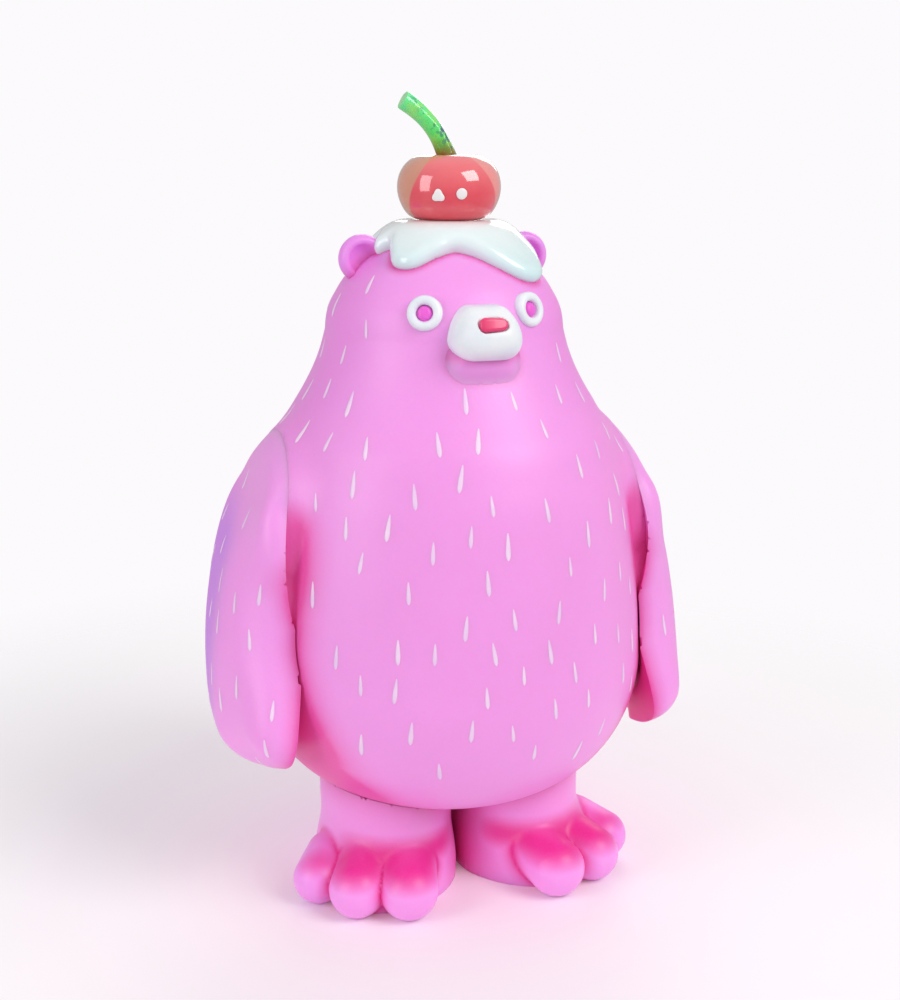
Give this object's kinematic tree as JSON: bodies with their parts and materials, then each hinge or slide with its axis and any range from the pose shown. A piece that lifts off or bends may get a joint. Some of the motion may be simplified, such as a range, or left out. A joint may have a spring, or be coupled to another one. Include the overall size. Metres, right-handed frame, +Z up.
{
  "type": "vinyl toy bear",
  "caption": "Standing pink vinyl art-toy bear with an icing cap, a turning cherry on top and swivelling flipper arms.",
  "frame": {"origin": "on the floor, under the axis that the head and torso are turned about", "axes": "+Z up, the bear faces -Y, its left arm is at +X"},
  "size_m": [0.124, 0.104, 0.2032],
  "materials": {
    "pink_vinyl": "satin soft vinyl with airbrushed shading",
    "icing_vinyl": "thick gloss",
    "cherry_vinyl": "high gloss",
    "stem_vinyl": "clear gloss green",
    "white_vinyl": "satin white",
    "pupil_vinyl": "satin pink",
    "nose_vinyl": "semi-gloss red-pink"
  },
  "bodies": {
    "torso": {"body_shell": "pink_vinyl", "right_leg": "pink_vinyl", "left_leg": "pink_vinyl", "right_ear": "pink_vinyl", "left_ear": "pink_vinyl", "icing_cap": "icing_vinyl", "right_eye_ring": "white_vinyl", "left_eye_ring": "white_vinyl", "right_pupil": "pupil_vinyl", "left_pupil": "pupil_vinyl", "muzzle_pad": "white_vinyl", "lower_jaw": "pink_vinyl", "nose": "nose_vinyl"},
    "right_flipper": {"right_arm": "pink_vinyl"},
    "left_flipper": {"left_arm": "pink_vinyl"},
    "cherry_top": {"cherry": "cherry_vinyl", "cherry_stem": "stem_vinyl", "right_cherry_dot": "white_vinyl", "left_cherry_dot": "white_vinyl"}
  },
  "joints": [
    {"name": "right_shoulder", "type": "hinge", "parent": "torso", "child": "right_flipper", "pos_m": [-0.0476, 0, 0.096], "axis": [-0.9863, 0, 0.165], "range_deg": [0, 90]},
    {"name": "left_shoulder", "type": "hinge", "parent": "torso", "child": "left_flipper", "pos_m": [0.0476, 0, 0.096], "axis": [-0.9863, 0, -0.165], "range_deg": [0, 90]},
    {"name": "cherry_turn", "type": "hinge", "parent": "torso", "child": "cherry_top", "pos_m": [0.0013, 0, 0.1713], "axis": [0, 0, 1], "continuous": true}
  ]
}
